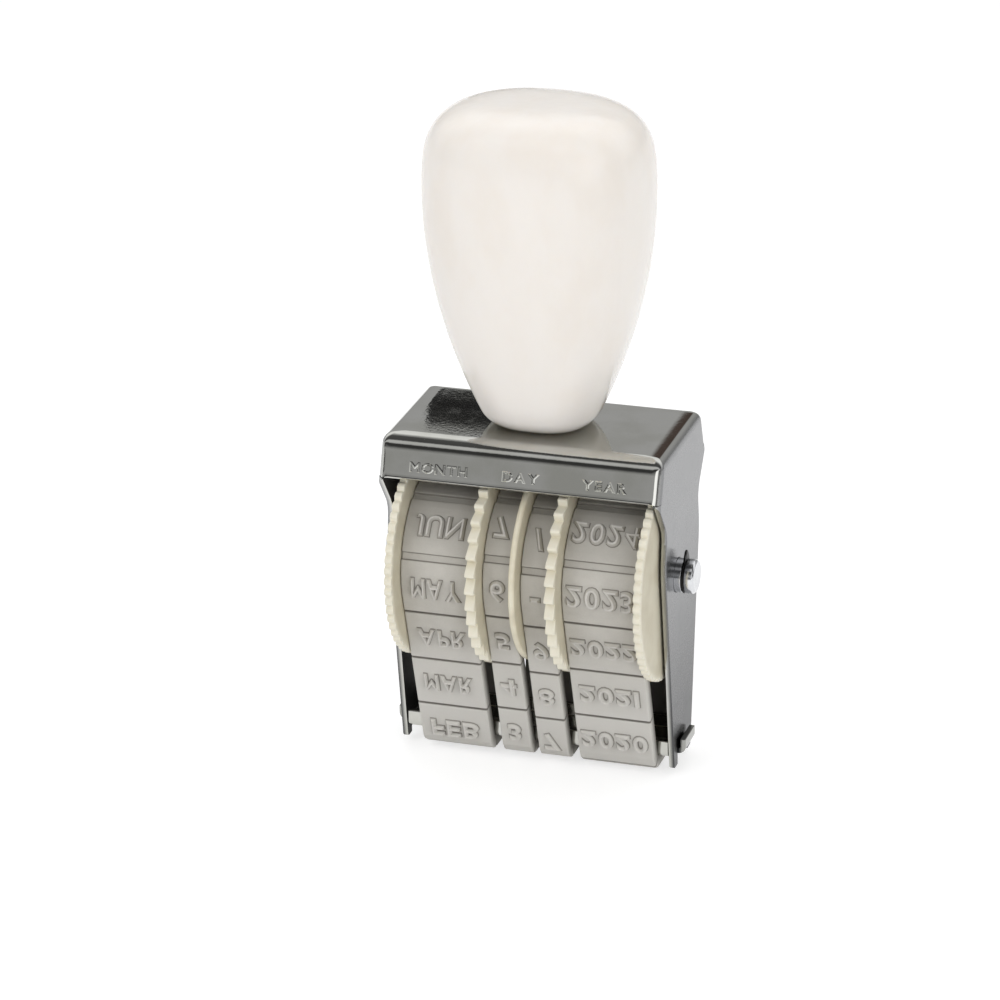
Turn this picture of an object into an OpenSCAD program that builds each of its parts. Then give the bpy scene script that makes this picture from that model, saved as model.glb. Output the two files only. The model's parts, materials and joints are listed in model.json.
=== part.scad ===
// Hand date stamp: four rubber bands run over toothed setting wheels and a printing bar,
// inside a folded chrome frame with a moulded handle on top.
// Origin: middle of the printing face. +Z up, +X to the right, the wheels are turned from the -Y side.

/* [Frame] */
// Thickness of the folded sheet
sheet_t = 0.8; // [0.6:0.1:1.2]
// Depth of the frame's top, front to back
top_d = 20.6; // [18:0.2:24]
// Height of the front and back skirts
skirt_drop = 5.8; // [4.5:0.1:8]
// How far each skirt leans out at its hem
skirt_flare = 2; // [0.5:0.1:3]
// Height of the folded hem inside each skirt
hem_h = 1.2; // [0.8:0.1:2]
// Gap between the hem and the wheels' rims
hem_gap = 1.2; // [0.5:0.1:2]
// Outside radius of the bends at front and back
top_bend_r = 2; // [1.4:0.1:3]
// Outside radius of the bends over the side plates
end_bend_r = 1.6; // [1.3:0.1:2.5]
// Outside radius of the upright corners where skirts and side plates meet
corner_r = 1.2; // [0.8:0.1:1.4]
// Depth of the side plates at their waist, just below the skirts
waist_d = 16.2; // [14:0.2:18]
// Drop from the hem to the waist
waist_drop = 5.6; // [4:0.1:7]
// Depth of the side plates at their widest below the waist
bulge_d = 17.6; // [15:0.2:20]
// Drop from the waist to the widest level
bulge_drop = 5.4; // [4:0.1:7]
// Depth of the side plates at the foot
foot_d = 8.6; // [8:0.1:11]
// Height of the foot above the printing face
foot_rise = 0.8; // [0.5:0.1:1.5]

/* [Wheels] */
// Radius of the setting wheels over their teeth
wheel_r = 15; // [14:0.1:17]
// Thickness of the rim disc of the month and year wheels
fine_rim_t = 1.1; // [1:0.1:1.8]
// Thickness of the rim disc of the two day wheels
coarse_rim_t = 1.4; // [1.2:0.1:2]
// Radius of the drum that carries a band
drum_r = 9.4; // [8:0.1:10.4]
// Wall of the drum
drum_wall = 1.4; // [1:0.1:2]
// Outside radius of the hub on the axle
hub_r = 3.9; // [3.4:0.1:4.5]
// Teeth on the month and year wheels
fine_teeth = 60; // [48:1:66]
// Depth of those teeth
fine_depth = 0.5; // [0.3:0.05:0.7]
// Teeth on the two day wheels
coarse_teeth = 38; // [30:1:42]
// Depth of those teeth
coarse_depth = 1; // [0.7:0.05:1.2]
// Radius of the plain disc between the day bands
divider_r = 14; // [13:0.1:15]
// Thickness of that disc
divider_t = 0.9; // [0.8:0.1:1.4]

/* [Axle] */
// Height of the axle above the printing face
axle_z = 29.8; // [28:0.1:31]
// How far the axle lies in front of the frame's mid-plane
axle_forward = 2.6; // [0:0.1:3]
// Diameter of the axle
axle_d = 4.8; // [4:0.1:5.2]
// End play of the wheels between the side plates
end_play = 1.8; // [1:0.1:2.4]
// Share of that play on the right, between the year wheel and its plate
right_play = 0.4; // [0.2:0.1:0.8]
// How far the axle's right clip stands off its plate
axle_play = 1; // [0.5:0.1:1.6]
// Length of the axle beyond each clip
axle_tip = 1.4; // [1:0.1:2.5]
// Chamfer on the axle's ends
axle_chamfer = 0.3; // [0.2:0.05:0.6]
// Thickness of a retaining clip
clip_t = 0.35; // [0.3:0.05:0.8]
// How far a clip's lug stands above the axle
clip_rise = 1; // [0.7:0.1:1.6]
// Radius of that lug
clip_lug_r = 1.6; // [1.2:0.1:2]
// Depth of the clip grooves
groove_depth = 0.5; // [0.3:0.05:0.7]

/* [Bands] */
// Width of the month band
month_band_w = 10.2; // [8:0.1:12]
// Width of each day band
day_band_w = 4.3; // [3.6:0.1:6]
// Width of the year band
year_band_w = 10.9; // [9:0.1:13]
// Thickness of the band under its type pads
band_base = 1.1; // [0.8:0.1:1.5]
// Height of the type pads over the band
pad_h = 1.3; // [0.9:0.1:1.6]
// Type pads round one band
pads = 12; // [11:1:13]
// Width of the channel between two pads
channel_w = 1; // [0.7:0.1:1.4]

/* [Printing bar] */
// Depth of the printing bar, front to back
bar_d = 9; // [8:0.1:10]
// Height of the bar's flanges
bar_h = 2.6; // [2.2:0.1:4]
// Sheet thickness of the bar
bar_t = 0.8; // [0.6:0.1:1]
// Outside radius of the bar's bends
bar_bend_r = 1; // [0.9:0.1:1.4]
// Width of the tongues that pass under the side plates
tongue_w = 5; // [4:0.1:5.6]
// Height of a tongue's upturned end above the bar's underside
tab_h = 2.2; // [2:0.1:4]

/* [Handle] */
// Height of the handle
handle_h = 45.8; // [40:0.2:55]
// Width of the handle at its widest
handle_w = 31.4; // [28:0.2:36]
// Depth of the handle at its deepest
handle_d = 25.6; // [20:0.2:28]
// Width of the handle at its foot
handle_foot_w = 14.4; // [12:0.2:18]
// Depth of the handle at its foot
handle_foot_d = 12.8; // [10:0.2:14]
// Height of the crown above the widest level
crown_h = 12; // [8:0.2:14]
// Radius of the handle's foot edge
foot_edge_r = 2.3; // [1:0.1:2.5]
// Diameter of the handle's screw
screw_d = 3.6; // [3:0.1:4.2]
// Depth of the screw in the handle
screw_depth = 12; // [8:0.5:16]
// Diameter of the screw's head
screw_head_d = 6.4; // [5.5:0.1:7]
// Height of the screw's head
screw_head_h = 1.7; // [1.4:0.1:2.2]
// Outside diameter of the washer under the head
washer_d = 9; // [7.5:0.1:10]
// Thickness of the washer
washer_t = 0.5; // [0.4:0.1:0.8]

/* [Fits] */
// Radial clearance of the axle in wheels and side plates
axle_fit = 0.05; // [0.03:0.01:0.08]
// Gap between turning faces along the axle
side_gap = 0.1; // [0.08:0.01:0.15]
// Gap between a band and the drum inside it
drum_gap = 0.15; // [0.1:0.01:0.2]
// Gap between a band and the printing bar
bar_gap = 0.05; // [0.03:0.01:0.1]
// Clearance of clips, tongues and the screw in their seats
seat_fit = 0.05; // [0.02:0.01:0.1]

/* [Hidden] */
$fn = 96;

// Colours of the materials
chrome = [0.70, 0.71, 0.73];
ivory = [0.91, 0.89, 0.82];
milk_white = [0.95, 0.94, 0.91];
rubber_grey = [0.70, 0.68, 0.66];
blackened = [0.12, 0.12, 0.13];

// Room that a cut needs past the solid it cuts
past = 1;
// Largest angle between two points of a drawn arc
arc_step = 5;
// The same where a band bends round the printing bar, coarse so that only its type face lies level
bar_arc_step = 15;

// Stack along the axle, laid from the right side plate to the left
axle_y = -axle_forward;
axle_r = axle_d / 2;
wheel_bore_r = axle_r + axle_fit;
rims_w = 2 * fine_rim_t + 2 * coarse_rim_t;
stack_w = rims_w + divider_t + month_band_w + 2 * day_band_w + year_band_w + 9 * side_gap;
inner_w = stack_w + side_gap + end_play;
frame_w = inner_w + 2 * sheet_t;
year_rim_x = inner_w / 2 - right_play - fine_rim_t;
year_band_x = year_rim_x - side_gap - year_band_w;
units_rim_x = year_band_x - side_gap - coarse_rim_t;
units_band_x = units_rim_x - side_gap - day_band_w;
divider_x = units_band_x - side_gap - divider_t;
tens_band_x = divider_x - side_gap - day_band_w;
tens_rim_x = tens_band_x - side_gap - coarse_rim_t;
month_band_x = tens_rim_x - side_gap - month_band_w;
month_rim_x = month_band_x - side_gap - fine_rim_t;

// Levels of the frame: the hem clears the rims, and the rest stands on it
skirt_lean = atan(skirt_flare / skirt_drop);
skirt_th = sheet_t / cos(skirt_lean);
hem_y = top_d / 2 + skirt_flare;
hem_inner_y = hem_y - 2 * skirt_th;
rim_reach = sqrt(pow(wheel_r, 2) - pow(hem_inner_y - axle_forward, 2));
hem_z = axle_z + rim_reach + hem_gap;
frame_h = hem_z + skirt_drop;
roof_z = frame_h - sheet_t;
waist_z = hem_z - waist_drop;
bulge_z = waist_z - bulge_drop;

// Radii of the side plates' corners
foot_corner_r = 0.6;
bulge_r = 14;
waist_r = 4;
hem_corner_r = 0.6;

// Printing bar and the loop that a band takes round it
band_t = band_base + pad_h;
bar_z = band_t + bar_gap;
bar_corner = bar_d / 2 - bar_bend_r;
bar_len = inner_w - 2 * side_gap;
tab_gap = 0.3;
loop_centres = [[-bar_corner, bar_z + bar_bend_r], [bar_corner, bar_z + bar_bend_r], [axle_y, axle_z]];
loop_radii = [bar_bend_r + bar_gap, bar_bend_r + bar_gap, drum_r + drum_gap];

// Axle ends: the right one is pulled out by its play
left_clip_x = -frame_w / 2 - clip_t;
right_clip_x = frame_w / 2 + axle_play;
groove_r = axle_r - groove_depth;
groove_w = clip_t + 2 * seat_fit;
axle_left = left_clip_x - axle_tip;
axle_right = right_clip_x + clip_t + axle_tip;

// Handle: squareness of its sections, low down and at the top, and of the crown's side view
section_power = 2.5;
top_section_power = 2.2;
crown_power = 3.6;
section_steps = 56;
foot_steps = 4;
flank_steps = 12;
crown_steps = 10;
wide_z = handle_h - crown_h;
screw_hole_r = screw_d / 2 + seat_fit;
screw_head_edge = 0.6;
screw_slot_w = 0.9;
screw_slot_depth = 0.7;
screw_pilot = 1;

function unit(v) = v / norm(v);
function turn(a) = [cos(a), sin(a)];

// Points of an arc about a centre, from one direction through a sweep, in steps of about this angle
function arc_points(centre, r, from, sweep, step = arc_step) =
    let (steps = max(1, ceil(abs(sweep) / step)))
    [for (k = [0 : steps]) centre + r * turn(from + sweep * k / steps)];

// Arc that rounds corner i of an outline whose points run anticlockwise
function corner_arc(points, radii, i) =
    let (count = len(points),
         here = points[i],
         before = unit(points[(i + count - 1) % count] - here),
         after = unit(points[(i + 1) % count] - here),
         half = acos(before * after) / 2,
         centre = here + unit(before + after) * radii[i] / sin(half),
         start = here + before * radii[i] / tan(half) - centre,
         bulges = cross(before, after) < 0)
    arc_points(centre, radii[i], atan2(start[1], start[0]), (bulges ? 1 : -1) * (180 - 2 * half));

// Outline with a round at each corner
module rounded(points, radii) {
    polygon([for (i = [0 : len(points) - 1]) each corner_arc(points, radii, i)]);
}

// Side view, given in depth and height, drawn out along X
module along_x(x, length) {
    translate([x, 0, 0]) rotate([90, 0, 90]) linear_extrude(length) children();
}

// Front view, given in width and height, drawn out along Y about the mid-plane
module along_y(length) {
    rotate([90, 0, 0]) linear_extrude(length, center = true) children();
}

// Disc about the axle
module axle_disc(x, length, r) {
    along_x(x, length) translate([axle_y, axle_z]) circle(r);
}

// Half outline of a side plate, from its foot up to the top
function plate_half(side) = [
    [side * foot_d / 2, foot_rise],
    [side * bulge_d / 2, bulge_z],
    [side * waist_d / 2, waist_z],
    [side * hem_y, hem_z],
    [side * top_d / 2, frame_h]];

function reversed(list) = [for (i = [len(list) - 1 : -1 : 0]) list[i]];

module plate_outline() {
    radii = [foot_corner_r, bulge_r, waist_r, hem_corner_r, top_bend_r];
    rounded(concat(plate_half(1), reversed(plate_half(-1))), concat(radii, reversed(radii)));
}

// Inside line of a skirt at height z
function skirt_inner_y(z) = top_d / 2 + skirt_flare * (frame_h - z) / skirt_drop - skirt_th;

// Space under the roof and between the skirts, with the hems left standing
module under_roof() {
    low = hem_z - past;
    inner_bend_r = top_bend_r - sheet_t;
    hem_top = hem_z + hem_h;
    difference() {
        rounded([[-skirt_inner_y(low), low], [skirt_inner_y(low), low],
                 [skirt_inner_y(roof_z), roof_z], [-skirt_inner_y(roof_z), roof_z]],
                [inner_bend_r, inner_bend_r, inner_bend_r, inner_bend_r]);
        for (side = [-1, 1])
            polygon([[side * skirt_inner_y(hem_z), hem_z],
                     [side * skirt_inner_y(hem_top), hem_top],
                     [side * (skirt_inner_y(hem_top) - skirt_th), hem_top],
                     [side * (skirt_inner_y(hem_z) - skirt_th), hem_z]]);
    }
}

// All that is open between the side plates, seen from the side
module open_side() {
    under_roof();
    translate([-hem_y - past, -past]) square([2 * (hem_y + past), hem_z + past]);
}

// Front view of a bent strip: flat top, round shoulders, open below
module arch_front(width, top, r) {
    rounded([[-width / 2, -past], [width / 2, -past], [width / 2, top], [-width / 2, top]],
            [r, r, r, r]);
}

// What rounds one upright corner: it follows the skirt's lean and runs out below the hem
module corner_cut() {
    run_out = 2 * corner_r;
    translate([frame_w / 2, hem_y, hem_z])
    rotate([skirt_lean, 0, 0])
    translate([-corner_r, -corner_r, -run_out])
    linear_extrude(run_out + skirt_drop / cos(skirt_lean) + past)
    difference() {
        square(corner_r + past);
        circle(corner_r);
    }
}

module frame() {
    depth = 2 * (hem_y + past);
    notch_w = tongue_w + 2 * seat_fit;
    notch_z = bar_z + bar_t + seat_fit;
    color(chrome)
    difference() {
        intersection() {
            along_x(-frame_w / 2, frame_w) plate_outline();
            along_y(depth) arch_front(frame_w, frame_h, end_bend_r);
        }
        intersection() {
            along_x(-inner_w / 2, inner_w) open_side();
            along_y(depth) arch_front(inner_w, roof_z, end_bend_r - sheet_t);
        }
        axle_disc(-frame_w / 2 - past, frame_w + 2 * past, axle_r + axle_fit);
        translate([-frame_w / 2 - past, -notch_w / 2, -past])
            cube([frame_w + 2 * past, notch_w, notch_z + past]);
        translate([0, 0, roof_z - past]) cylinder(r = screw_hole_r, h = sheet_t + 2 * past);
        for (left = [0, 1], front = [0, 1])
            mirror([left, 0, 0]) mirror([0, front, 0]) corner_cut();
    }
}

// Half size of the handle's section at height z above its foot
function flank(foot, widest, z) = widest - (widest - foot) * pow(1 - z / wide_z, 2);

// Point of a circle drawn out towards a square: a power of 2 is round, a higher one squarer
function squarish(a, power) = turn(a) / pow(pow(abs(cos(a)), power) + pow(abs(sin(a)), power), 1 / power);

// Rounded rectangular section of the handle
function section_ring(w, d, z, power) = [for (k = [0 : section_steps - 1])
    let (p = squarish(360 * k / section_steps, power))
    [w * p[0], d * p[1], z]];

// Rings from the foot's round edge up the flank and over the crown
function handle_rings() = concat(
    [for (i = [0 : foot_steps - 1])
        let (a = 90 * i / foot_steps, inset = foot_edge_r * (1 - sin(a)), z = foot_edge_r * (1 - cos(a)))
        section_ring(flank(handle_foot_w / 2, handle_w / 2, z) - inset,
                     flank(handle_foot_d / 2, handle_d / 2, z) - inset, z, section_power)],
    [for (i = [0 : flank_steps - 1])
        let (z = foot_edge_r + (wide_z - foot_edge_r) * i / flank_steps)
        section_ring(flank(handle_foot_w / 2, handle_w / 2, z),
                     flank(handle_foot_d / 2, handle_d / 2, z), z, section_power)],
    [for (i = [0 : crown_steps - 1])
        let (p = squarish(90 * i / crown_steps, crown_power),
             power = section_power + (top_section_power - section_power) * p[1])
        section_ring(p[0] * handle_w / 2, p[0] * handle_d / 2, wide_z + crown_h * p[1], power)]);

module handle_body() {
    rings = handle_rings();
    count = len(rings);
    n = section_steps;
    top = count * n;
    points = concat([for (ring = rings) each ring], [[0, 0, handle_h]]);
    foot_face = [[for (k = [0 : n - 1]) k]];
    flanks = [for (i = [0 : count - 2], k = [0 : n - 1])
        let (j = (k + 1) % n, a = i * n + k, b = i * n + j)
        each [[a, a + n, b + n], [a, b + n, b]]];
    crown = [for (k = [0 : n - 1]) [(count - 1) * n + k, top, (count - 1) * n + (k + 1) % n]];
    polyhedron(points, concat(foot_face, flanks, crown));
}

module handle() {
    color(milk_white)
    translate([0, 0, frame_h])
    difference() {
        handle_body();
        translate([0, 0, -past])
            cylinder(r = screw_hole_r, h = past + screw_depth + screw_pilot);
    }
}

module handle_screw() {
    seat = roof_z - washer_t;
    head_r = screw_head_d / 2;
    low = seat - screw_head_h;
    tip = frame_h + screw_depth;
    color(blackened)
    difference() {
        rotate_extrude()
            polygon([[0, low], [head_r - screw_head_edge, low], [head_r, low + screw_head_edge],
                     [head_r, seat], [screw_d / 2, seat], [screw_d / 2, tip - screw_d / 2], [0, tip]]);
        for (a = [0, 90])
            rotate(a) translate([-head_r / 2, -screw_slot_w / 2, low - past])
                cube([head_r, screw_slot_w, past + screw_slot_depth]);
    }
}

module handle_washer() {
    color(chrome)
    translate([0, 0, roof_z - washer_t])
    difference() {
        cylinder(d = washer_d, h = washer_t);
        translate([0, 0, -past]) cylinder(r = screw_hole_r, h = washer_t + 2 * past);
    }
}

module axle() {
    left_groove = left_clip_x - seat_fit;
    right_groove = right_clip_x - seat_fit;
    color(chrome)
    translate([0, axle_y, axle_z])
    rotate([0, 90, 0])
    rotate_extrude()
        polygon([[0, axle_left], [axle_r - axle_chamfer, axle_left], [axle_r, axle_left + axle_chamfer],
                 [axle_r, left_groove], [groove_r, left_groove],
                 [groove_r, left_groove + groove_w], [axle_r, left_groove + groove_w],
                 [axle_r, right_groove], [groove_r, right_groove],
                 [groove_r, right_groove + groove_w], [axle_r, right_groove + groove_w],
                 [axle_r, axle_right - axle_chamfer], [axle_r - axle_chamfer, axle_right],
                 [0, axle_right]]);
}

// Clip: a thin ring in the groove, open below, with a lug on top
module axle_clip(x) {
    ring_rise = 0.1;
    mouth_w = 1.5 * groove_r;
    color(blackened)
    along_x(x, clip_t)
    translate([axle_y, axle_z])
    difference() {
        union() {
            circle(axle_r + ring_rise);
            translate([0, axle_r + clip_rise - clip_lug_r]) circle(clip_lug_r);
        }
        circle(groove_r + seat_fit);
        translate([-mouth_w / 2, -2 * axle_r]) square([mouth_w, 2 * axle_r]);
    }
}

module axle_clip_left() {
    axle_clip(left_clip_x);
}

module axle_clip_right() {
    axle_clip(right_clip_x);
}

// Toothed outline: each tooth is a blunt wedge, its tip at a share of the pitch
function tooth_ring(teeth, depth, tip_from, tip_to) = [for (i = [0 : teeth - 1])
    let (pitch = 360 / teeth, root = wheel_r - depth)
    each [root * turn(i * pitch),
          wheel_r * turn((i + tip_from) * pitch),
          wheel_r * turn((i + tip_to) * pitch)]];

// Setting wheel: toothed rim disc with an open drum on one side, and a hub on the axle
module setting_wheel(rim_x, rim_t, drum_x, drum_w, teeth_outline) {
    drum_len = drum_w + side_gap;
    drum_start = drum_x < rim_x ? drum_x : rim_x + rim_t;
    difference() {
        union() {
            along_x(rim_x, rim_t) translate([axle_y, axle_z]) polygon(teeth_outline);
            difference() {
                axle_disc(drum_start, drum_len, drum_r);
                axle_disc(drum_start, drum_len, drum_r - drum_wall);
            }
            axle_disc(drum_start, drum_len, hub_r);
        }
        axle_disc(-inner_w / 2, inner_w, wheel_bore_r);
    }
}

// Fine teeth are even bumps, coarse ones lean like a ratchet's, with the steep side down at the front
fine_outline = tooth_ring(fine_teeth, fine_depth, 0.3, 0.7);
coarse_outline = tooth_ring(coarse_teeth, coarse_depth, 0.7, 0.88);

module month_wheel() {
    color(ivory) setting_wheel(month_rim_x, fine_rim_t, month_band_x, month_band_w, fine_outline);
}

module day_tens_wheel() {
    color(ivory) setting_wheel(tens_rim_x, coarse_rim_t, tens_band_x, day_band_w, coarse_outline);
}

module day_units_wheel() {
    color(ivory) setting_wheel(units_rim_x, coarse_rim_t, units_band_x, day_band_w, coarse_outline);
}

module year_wheel() {
    color(ivory) setting_wheel(year_rim_x, fine_rim_t, year_band_x, year_band_w, fine_outline);
}

module divider_disc() {
    edge = divider_t / 2;
    color(ivory)
    difference() {
        translate([divider_x + divider_t / 2, axle_y, axle_z]) rotate([0, 90, 0])
            rotate_extrude() {
                translate([0, -divider_t / 2]) square([divider_r - edge, divider_t]);
                intersection() {
                    translate([divider_r - edge, 0]) circle(edge);
                    translate([0, -divider_t]) square([divider_r, 2 * divider_t]);
                }
            }
        axle_disc(-inner_w / 2, inner_w, wheel_bore_r);
    }
}

// Direction in which the loop's straight stretch from circle i to circle i + 1 faces
function facing(i) =
    let (j = (i + 1) % 3, way = loop_centres[j] - loop_centres[i])
    atan2(way[1], way[0]) - acos((loop_radii[i] - loop_radii[j]) / norm(way));

// Ends of that stretch, at a height over the loop's inside
function stretch(i, height) =
    let (j = (i + 1) % 3, out = turn(facing(i)))
    [loop_centres[i] + (loop_radii[i] + height) * out, loop_centres[j] + (loop_radii[j] + height) * out];

// The loop is six runs: a straight stretch, then the arc that follows it, three times over
function arc_angle(i) = (facing((i + 1) % 3) - facing(i) + 720) % 360;
function run_length(k, height) =
    let (i = floor(k / 2), j = (i + 1) % 3, ends = stretch(i, height))
    k % 2 == 0 ? norm(ends[1] - ends[0]) : (loop_radii[j] + height) * arc_angle(i) * PI / 180;
function loop_length(height) = run_length(0, height) + run_length(1, height) + run_length(2, height)
    + run_length(3, height) + run_length(4, height) + run_length(5, height);

// Point of the loop a distance s along it, with the way it faces
function loop_at(s, height, k = 0) =
    let (run = run_length(k, height))
    s > run ? loop_at(s - run, height, (k + 1) % 6) : run_at(s / run, height, k);
function run_at(share, height, k) =
    let (i = floor(k / 2), j = (i + 1) % 3, ends = stretch(i, height), a = facing(i) + share * arc_angle(i))
    k % 2 == 0
        ? [ends[0] + share * (ends[1] - ends[0]), facing(i)]
        : [loop_centres[j] + (loop_radii[j] + height) * turn(a), a];

// Everything inside the loop at a height over its inside
module loop_area(height) {
    polygon([for (i = [0 : 2]) let (j = (i + 1) % 3)
        each arc_points(loop_centres[j], loop_radii[j] + height, facing(i), arc_angle(i),
                        j == 2 ? arc_step : bar_arc_step)]);
}

// One rubber band: a belt with type pads, one of them square on the printing face
module type_band(x, width) {
    whole = loop_length(band_base);
    print_middle = run_length(0, band_base) / 2;
    along_x(x, width)
    difference() {
        loop_area(band_t);
        loop_area(0);
        for (i = [0 : pads - 1]) {
            place = loop_at((print_middle + (i + 0.5) * whole / pads) % whole, band_base);
            translate(place[0]) rotate(place[1]) translate([0, -channel_w / 2])
                square([pad_h + past, channel_w]);
        }
    }
}

module month_band() {
    color(rubber_grey) type_band(month_band_x, month_band_w);
}

module day_tens_band() {
    color(rubber_grey) type_band(tens_band_x, day_band_w);
}

module day_units_band() {
    color(rubber_grey) type_band(units_band_x, day_band_w);
}

module year_band() {
    color(rubber_grey) type_band(year_band_x, year_band_w);
}

// Half of the printing bar's tongue, seen from the front: out under the plate, then up beside it
module tongue_front() {
    bend_x = frame_w / 2;
    bend_z = bar_z + bar_t + tab_gap;
    translate([bar_len / 2 - past, bar_z]) square([bend_x - bar_len / 2 + past, bar_t]);
    intersection() {
        translate([bend_x, bend_z])
            difference() {
                circle(tab_gap + bar_t);
                circle(tab_gap);
            }
        translate([bend_x, bar_z]) square([tab_gap + bar_t, bend_z - bar_z]);
    }
    translate([bend_x + tab_gap, bend_z]) square([bar_t, bar_z + tab_h - bend_z]);
}

module platen() {
    inner_r = bar_bend_r - bar_t;
    color(chrome)
    union() {
        along_x(-bar_len / 2, bar_len)
            difference() {
                rounded([[-bar_d / 2, bar_z], [bar_d / 2, bar_z],
                         [bar_d / 2, bar_z + bar_h], [-bar_d / 2, bar_z + bar_h]],
                        [bar_bend_r, bar_bend_r, bar_t / 4, bar_t / 4]);
                rounded([[bar_t - bar_d / 2, bar_z + bar_t], [bar_d / 2 - bar_t, bar_z + bar_t],
                         [bar_d / 2 - bar_t, bar_z + bar_h + past],
                         [bar_t - bar_d / 2, bar_z + bar_h + past]],
                        [inner_r, inner_r, inner_r, inner_r]);
            }
        for (side = [0, 1])
            mirror([side, 0, 0]) along_y(tongue_w) tongue_front();
    }
}

frame();
handle();
handle_screw();
handle_washer();
axle();
axle_clip_left();
axle_clip_right();
month_wheel();
day_tens_wheel();
divider_disc();
day_units_wheel();
year_wheel();
month_band();
day_tens_band();
day_units_band();
year_band();
platen();
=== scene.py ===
# %% [markdown]
# # A hand date stamp
#
# A hand date stamp prints the date with type that stands on four rubber bands. Toothed wheels
# carry the bands round, a bar at the bottom presses them on the paper, a folded and plated
# frame holds everything, and a moulded handle takes the push of the palm.
#
# The solid parts were worked out first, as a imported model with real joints. Here that model is
# the fixed frame, and Blender adds what a solid can't show: rounded edges, type, and finishes.
# Everything is in one place and one unit, so no piece has to be fitted by eye.

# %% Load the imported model
import json
import math

import bmesh
import bpy
from mathutils import Matrix, Vector


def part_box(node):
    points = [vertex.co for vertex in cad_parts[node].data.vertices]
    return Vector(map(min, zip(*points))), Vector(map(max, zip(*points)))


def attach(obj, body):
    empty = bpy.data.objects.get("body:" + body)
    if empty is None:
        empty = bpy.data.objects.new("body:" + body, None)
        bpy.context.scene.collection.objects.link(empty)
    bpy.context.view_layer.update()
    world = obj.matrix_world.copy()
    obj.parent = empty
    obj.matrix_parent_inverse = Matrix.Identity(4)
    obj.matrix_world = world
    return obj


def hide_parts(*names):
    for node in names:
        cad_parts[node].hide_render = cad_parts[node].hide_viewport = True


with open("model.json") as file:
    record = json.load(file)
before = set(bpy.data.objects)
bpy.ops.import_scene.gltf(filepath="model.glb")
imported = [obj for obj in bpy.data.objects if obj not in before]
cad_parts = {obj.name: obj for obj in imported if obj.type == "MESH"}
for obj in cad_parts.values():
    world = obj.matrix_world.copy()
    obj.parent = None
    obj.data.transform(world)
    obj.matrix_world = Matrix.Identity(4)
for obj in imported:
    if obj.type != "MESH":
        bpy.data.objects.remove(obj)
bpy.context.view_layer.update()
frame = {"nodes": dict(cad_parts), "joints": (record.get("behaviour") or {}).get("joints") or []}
scene = bpy.context.scene
print("solids:", len(frame["nodes"]))

# %% [markdown]
# ## Units
#
# Blender works in metres, but a stamp is measured in millimetres. All sizes below are written
# in millimetres and multiplied by `MM` where they reach Blender. A small helper reads a solid's
# box in millimetres, so that a new piece can take its place from the solid that it stands for.

# %% Millimetres
MM = 0.001


def box_mm(node):
    low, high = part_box(node)
    return low / MM, high / MM


low, high = box_mm("frame")
FRAME_TOP = high.z
print(f"frame: {high.x - low.x:.1f} wide, {high.y - low.y:.1f} deep, top at {FRAME_TOP:.1f} mm")

# %% [markdown]
# ## Camera
#
# The view was found by fitting a camera to the corners of the frame: it stands to the right of
# the middle, looks down a little, and is far away behind a long lens. Its axes are worked out
# from three angles. A Track To constraint would be quicker, but it can't hold the small roll.

# %% Camera
AZIMUTH, ELEVATION, ROLL = (math.radians(a) for a in (17.835, 22.75, -0.965))
CAMERA_DISTANCE = 587.276
CAMERA_LENS, SENSOR_WIDTH = 152.105, 36
NEAREST = 10
AIM = Vector((-6.327, 0, 36.939))


def camera_axes():
    """The camera's right, up and back directions."""
    level = math.cos(ELEVATION)
    back = Vector((math.sin(AZIMUTH) * level, -math.cos(AZIMUTH) * level, math.sin(ELEVATION)))
    right = Vector((math.cos(AZIMUTH), math.sin(AZIMUTH), 0))
    up = back.cross(right)
    c, s = math.cos(ROLL), math.sin(ROLL)
    return c * right + s * up, c * up - s * right, back


right, up, back = camera_axes()
camera = bpy.data.objects.new("camera", bpy.data.cameras.new("camera"))
camera.data.lens = CAMERA_LENS
camera.data.sensor_width = SENSOR_WIDTH
camera.data.clip_start = NEAREST * MM
camera.matrix_world = Matrix.Translation((AIM + back * CAMERA_DISTANCE) * MM) @ Matrix(
    (right, up, back)
).transposed().to_4x4()
scene.collection.objects.link(camera)
scene.camera = camera
scene.view_settings.view_transform = "Standard"
print("camera at", [round(v) for v in camera.location / MM], "mm")

# %% [markdown]
# ## Shader maths as Python
#
# A finish is a network of nodes. Drawn by hand it is a maze, so two small classes write it as
# ordinary Python. `Value` wraps one output socket: `1 - mask * 0.3` adds the Math nodes that it
# needs. `Shader` owns the node tree, and its `node` method makes any other node: first the
# settings, because they can change which sockets there are, then the values and the links.

# %% Value and Shader
class Value:
    """One output socket. Arithmetic on it adds Math nodes."""

    def __init__(self, shader, socket):
        self.shader = shader
        self.socket = socket

    def other(self, output):
        return Value(self.shader, self.socket.node.outputs[output])

    def __add__(self, other):
        return self.shader.maths("ADD", self, other)

    def __sub__(self, other):
        return self.shader.maths("SUBTRACT", self, other)

    def __rsub__(self, other):
        return self.shader.maths("SUBTRACT", other, self)

    def __mul__(self, other):
        return self.shader.maths("MULTIPLY", self, other)

    def __pow__(self, other):
        return self.shader.maths("POWER", self, other)

    __radd__ = __add__
    __rmul__ = __mul__


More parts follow.
